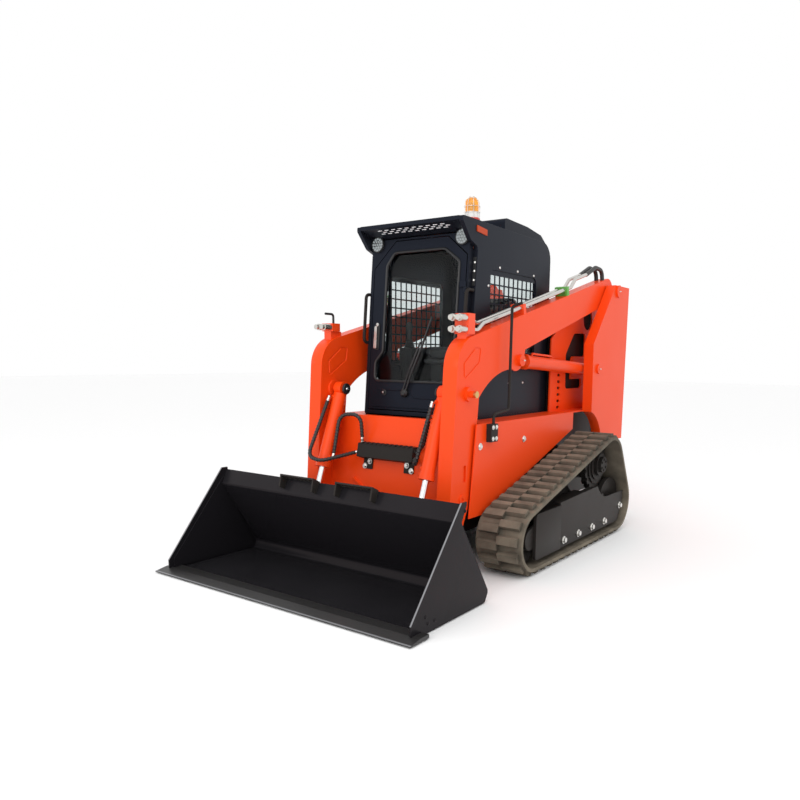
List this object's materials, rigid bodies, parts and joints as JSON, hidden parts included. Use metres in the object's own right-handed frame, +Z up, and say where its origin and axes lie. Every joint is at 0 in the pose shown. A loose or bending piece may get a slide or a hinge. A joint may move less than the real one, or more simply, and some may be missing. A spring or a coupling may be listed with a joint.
{
  "type": "compact track loader",
  "caption": "compact track loader on rubber tracks with a lift boom, low bucket, tilt and lift cylinders and a closed guarded cab",
  "frame": {"origin": "centre of the bounding box on the ground", "axes": "+X to the machine's left, -Y to its front where the bucket is, +Z up"},
  "size_m": [1.97, 3.4, 2.32],
  "materials": {
    "rubber": "dusty matt",
    "frame_black": "satin",
    "orange_paint": "gloss",
    "steel": "bright",
    "chrome": "polished",
    "cab_black": "satin",
    "bucket_black": "satin",
    "edge_steel": "bare",
    "glass": "clear tint",
    "seat_vinyl": "matt",
    "plastic": "matt",
    "lamp_lens": "clear",
    "beacon_amber": "gloss",
    "tail_red": "gloss",
    "engine_iron": "matt",
    "clamp_green": "matt"
  },
  "bodies": {
    "chassis": {"track_left": "rubber", "track_right": "rubber", "track_frame_left": "frame_black", "track_frame_right": "frame_black", "front_idlers": "frame_black", "rear_idlers": "frame_black", "sprockets": "frame_black", "final_drives": "frame_black", "rollers": "frame_black", "tub": "frame_black", "side_panel_left": "orange_paint", "side_panel_right": "orange_paint", "engine": "engine_iron", "rear_bumper": "frame_black", "tower_outer_left": "orange_paint", "tower_outer_right": "orange_paint", "tower_inner_left": "orange_paint", "tower_inner_right": "orange_paint", "tower_pins": "steel", "cab_side_left": "cab_black", "cab_side_right": "cab_black", "window_guard_left": "cab_black", "window_guard_right": "cab_black", "cab_roof": "cab_black", "cab_front": "cab_black", "cab_floor": "cab_black", "cab_rear": "cab_black", "side_glass": "glass", "rear_glass": "glass", "seat": "seat_vinyl", "consoles": "plastic", "work_lamps": "lamp_lens", "beacon": "beacon_amber", "grab_handles": "cab_black", "mirror_posts": "cab_black", "hood": "orange_paint", "door_hinges": "cab_black"},
    "boom": {"arm_left": "orange_paint", "arm_right": "orange_paint", "crossmember": "orange_paint", "step_cover": "cab_black", "quick_couplers": "steel", "boom_pipes": "steel", "pipe_clamps": "clamp_green", "boom_pins": "steel", "boom_hoses": "plastic"},
    "bucket": {"coupler_plate": "bucket_black", "bucket_shell": "bucket_black", "cutting_edge": "edge_steel", "bucket_pins": "steel", "bucket_steps": "cab_black"},
    "lift_barrel": {"lift_barrels": "orange_paint"},
    "lift_rod": {"lift_rods": "chrome"},
    "tilt_barrel": {"tilt_barrels": "orange_paint"},
    "tilt_rod": {"tilt_rods": "chrome"},
    "cab_door": {"door_frame": "cab_black", "door_glass": "glass", "door_handle": "steel"},
    "engine_door": {"rear_door": "orange_paint", "tail_lamps": "tail_red"}
  },
  "joints": [
    {"name": "boom_lift", "type": "hinge", "parent": "chassis", "child": "boom", "pos_m": [0, 1.455, 1.862], "axis": [-1, 0, 0], "range_deg": [0, 60]},
    {"name": "bucket_tilt", "type": "hinge", "parent": "boom", "child": "bucket", "pos_m": [0, -0.785, 0.175], "axis": [1, 0, 0], "range_deg": [-28, 100]},
    {"name": "lift_barrel_swing", "type": "hinge", "parent": "chassis", "child": "lift_barrel", "pos_m": [0, 1.12, 1.25], "axis": [-1, 0, 0], "range_deg": [-1, 59.31]},
    {"name": "lift_rod_slide", "type": "slide", "parent": "lift_barrel", "child": "lift_rod", "axis": [0, -0.9985, 0.0542], "range_m": [-0.005, 0.7014]},
    {"name": "tilt_barrel_swing", "type": "hinge", "parent": "boom", "child": "tilt_barrel", "pos_m": [0, -0.623, 1.112], "axis": [1, 0, 0], "range_deg": [-25, 25]},
    {"name": "tilt_rod_slide", "type": "slide", "parent": "tilt_barrel", "child": "tilt_rod", "axis": [0, -0.3482, -0.9374], "range_m": [-0.0979, 0.3366]},
    {"name": "cab_door_swing", "type": "hinge", "parent": "chassis", "child": "cab_door", "pos_m": [0.378, -0.43277, 0.94071], "axis": [0, 0.0906, 0.9959], "range_deg": [0, 80]},
    {"name": "engine_door_swing", "type": "hinge", "parent": "chassis", "child": "engine_door", "pos_m": [0.439, 1.6738, 0.8], "axis": [0, 0, -1], "range_deg": [0, 100]}
  ],
  "couplings": [
    {"joint": "lift_barrel_swing", "follows": "boom_lift", "ratio": 0.97184},
    {"joint": "lift_rod_slide", "follows": "boom_lift", "m_per_rad": 0.66502},
    {"joint": "tilt_barrel_swing", "follows": "bucket_tilt", "ratio": -0.035},
    {"joint": "tilt_rod_slide", "follows": "bucket_tilt", "m_per_rad": 0.19}
  ]
}
